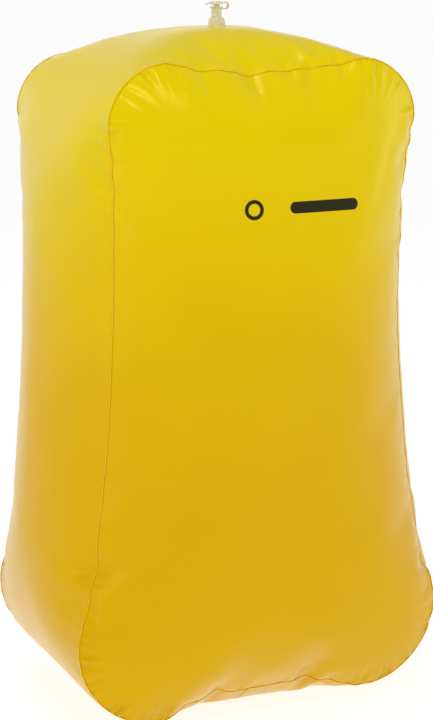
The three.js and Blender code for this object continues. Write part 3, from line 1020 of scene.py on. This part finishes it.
plain_film = film_material("yellow_film")
printed_film = film_material("printed_yellow_film", printed=True)
welded = weld_material()
vinyl = vinyl_material()
paint(front_film, printed_film)
paint(back_film, plain_film)
paint(gusset_film, plain_film)
paint(strip, plain_film)
paint(front_weld, welded)
paint(back_weld, welded)
for piece in (collar, stem, cap, strap, tab):
    paint(piece, vinyl)
for node in ("valve_flange", "check_flap"):
    paint(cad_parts[node], vinyl)

# ---------------------------------------------------------------- bodies and nodes

for piece, body, node, finish_slot in (
    (front_film, "air_bag", "front_panel", "yellow_film"),
    (back_film, "air_bag", "back_panel", "yellow_film"),
    (gusset_film, "air_bag", "gusset_band", "yellow_film"),
    (strip, "air_bag", "gusset_lap_strip", "lap_weld"),
    (front_weld, "air_bag", "front_weld_bead", "weld_bead"),
    (back_weld, "air_bag", "back_weld_bead", "weld_bead"),
    (stem, "oral_valve", "valve_stem", "valve_vinyl"),
    (cap, "cap", "plug_cap", "valve_vinyl"),
    (tab, "cap", "pull_tab", "valve_vinyl"),
):
    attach(piece, body)
    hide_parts(node)

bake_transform(collar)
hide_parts("valve_collar")

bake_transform(strap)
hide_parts("strap_root", "strap_tip")


# ---------------------------------------------------------------- floor, light and camera

FLOOR_HALF_SIZE = 60
FLOOR_GREY = 0.35
FLOOR_GLOW = 0.82                  # with the light on it, the floor reads as white as the backdrop

# Backdrop: white at the horizon and dimmer overhead, by the upward part of the view direction
WHITE_BELOW, DIM_ABOVE, DIM_LIGHT = 0.12, 0.5, 0.35

# Name, place, target, width, height and watts
SOFTBOXES = (
    ("top_softbox", (-0.5, 0.3, 2.2), (0, 0, 0.5), 1.0, 0.8, 13),
    ("front_softbox", (-0.25, -1.61, 1.96), (-0.15, -0.17, 0.58), 0.6, 0.42, 11),
    ("left_softbox", (-2.2, -0.5, 0.7), (0, 0, 0.3), 0.6, 1.2, 4.5),
    ("right_softbox", (2.2, -0.9, 1.0), (0, 0, 0.3), 0.5, 1.4, 6.5),
)

CAMERA_AZIMUTH, CAMERA_ELEVATION, CAMERA_ROLL = -24.2, 11.9, -0.46      # degrees
CAMERA_DISTANCE = 1.805
CAMERA_TARGET = (0, 0, 0.33)
SHIFT_RIGHT, SHIFT_UP = 0.0046, 0.0025
FOCAL_LENGTH, SENSOR_HEIGHT = 92.0, 36                                  # millimetres


def floor():
    size = FLOOR_HALF_SIZE
    corners = [(-size, -size, 0), (size, -size, 0), (size, size, 0), (-size, size, 0)]
    obj = new_object("floor", corners, [(0, 1, 2, 3)])
    nodes = Nodes("pale_floor")
    nodes.set(
        Base_Color=(FLOOR_GREY, FLOOR_GREY, FLOOR_GREY, 1), Roughness=0.9, Specular_IOR_Level=0.0,
        Emission_Color=(1, 1, 1, 1), Emission_Strength=FLOOR_GLOW)
    paint(obj, nodes.material)


def softbox(name, place, target, width, height, power):
    light = bpy.data.lights.new(name, "AREA")
    light.shape = "RECTANGLE"
    light.size = width
    light.size_y = height
    light.energy = power
    obj = bpy.data.objects.new(name, light)
    scene.collection.objects.link(obj)
    obj.location = place
    obj.rotation_euler = (Vector(target) - Vector(place)).to_track_quat("-Z", "Y").to_euler()


def lights():
    world = bpy.data.worlds.new("studio")
    scene.world = world
    world.use_nodes = True
    tree = world.node_tree
    split = tree.nodes.new("ShaderNodeSeparateXYZ")
    tree.links.new(tree.nodes.new("ShaderNodeTexCoord").outputs["Generated"], split.inputs[0])
    fade = tree.nodes.new("ShaderNodeMapRange")
    fade.interpolation_type = "SMOOTHSTEP"
    fade.inputs["From Min"].default_value = WHITE_BELOW
    fade.inputs["From Max"].default_value = DIM_ABOVE
    fade.inputs["To Min"].default_value = 1.0
    fade.inputs["To Max"].default_value = DIM_LIGHT
    tree.links.new(split.outputs["Z"], fade.inputs["Value"])
    tree.links.new(fade.outputs["Result"], tree.nodes["Background"].inputs["Strength"])
    tree.nodes["Background"].inputs["Color"].default_value = (1, 1, 1, 1)
    for box in SOFTBOXES:
        softbox(*box)


def camera():
    azimuth, elevation = math.radians(CAMERA_AZIMUTH), math.radians(CAMERA_ELEVATION)
    backwards = Vector((
        math.sin(azimuth) * math.cos(elevation),
        -math.cos(azimuth) * math.cos(elevation),
        math.sin(elevation),
    ))
    right = Vector((math.cos(azimuth), math.sin(azimuth), 0))
    middle = Vector(CAMERA_TARGET) + right * SHIFT_RIGHT + Vector((0, 0, SHIFT_UP))
    data = bpy.data.cameras.new("camera")
    data.sensor_fit = "VERTICAL"
    data.sensor_height = SENSOR_HEIGHT
    data.lens = FOCAL_LENGTH
    obj = bpy.data.objects.new("camera", data)
    scene.collection.objects.link(obj)
    obj.location = middle + backwards * CAMERA_DISTANCE
    turn = (-backwards).to_track_quat("-Z", "Y").to_matrix().to_4x4()
    roll = Matrix.Rotation(math.radians(CAMERA_ROLL), 4, "Z")
    obj.rotation_euler = (turn @ roll).to_euler()
    scene.camera = obj


floor()
lights()
camera()
scene.view_settings.view_transform = "Standard"
